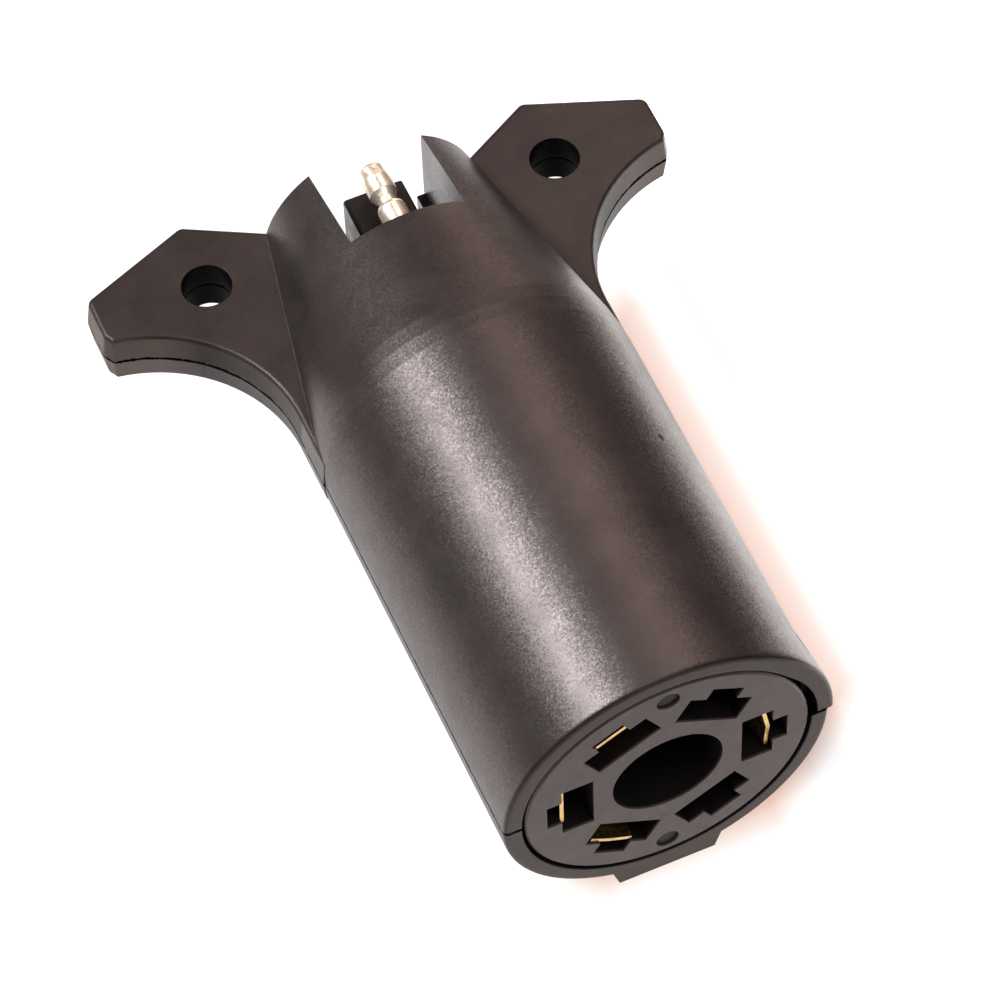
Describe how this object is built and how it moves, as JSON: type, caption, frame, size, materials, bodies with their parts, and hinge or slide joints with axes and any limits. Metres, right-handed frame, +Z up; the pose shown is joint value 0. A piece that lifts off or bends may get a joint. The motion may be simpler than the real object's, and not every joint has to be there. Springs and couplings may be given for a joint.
{
  "type": "trailer wiring connector",
  "caption": "Barrel-shaped trailer wiring adapter: slotted round blade plug at one end, upright flat plug in a notch between two drilled mounting ears at the other.",
  "frame": {"origin": "centre of the seven-way face, on the barrel's axis", "axes": "+Y along the barrel from the seven-way face to the four-way flat end, +X toward the right-hand ear, +Z up, away from the key rib"},
  "size_m": [0.0776, 0.0961, 0.0435],
  "materials": {
    "shell": "fine spark-eroded texture, satin",
    "insert": "smooth satin",
    "block": "smooth satin",
    "brass": "stamped strip, lightly dulled",
    "pin": "bright nickel plate",
    "sleeve": "drawn sheet",
    "copper": "bare stranded copper",
    "ground_insulation": "white insulation",
    "tail_insulation": "brown insulation",
    "left_turn_insulation": "yellow insulation",
    "right_turn_insulation": "green insulation"
  },
  "bodies": {
    "root": {"upper_shell": "shell", "lower_shell": "shell", "seven_way_insert": "insert", "ground_contact": "brass", "tail_contact": "brass", "left_turn_contact": "brass", "right_turn_contact": "brass", "four_flat_body": "block", "ground_pin": "pin", "tail_socket": "sleeve", "left_turn_socket": "sleeve", "right_turn_socket": "sleeve", "ground_wire": "ground_insulation", "tail_wire": "tail_insulation", "left_turn_wire": "left_turn_insulation", "right_turn_wire": "right_turn_insulation", "ground_core": "copper", "tail_core": "copper", "left_turn_core": "copper", "right_turn_core": "copper"}
  },
  "joints": []
}
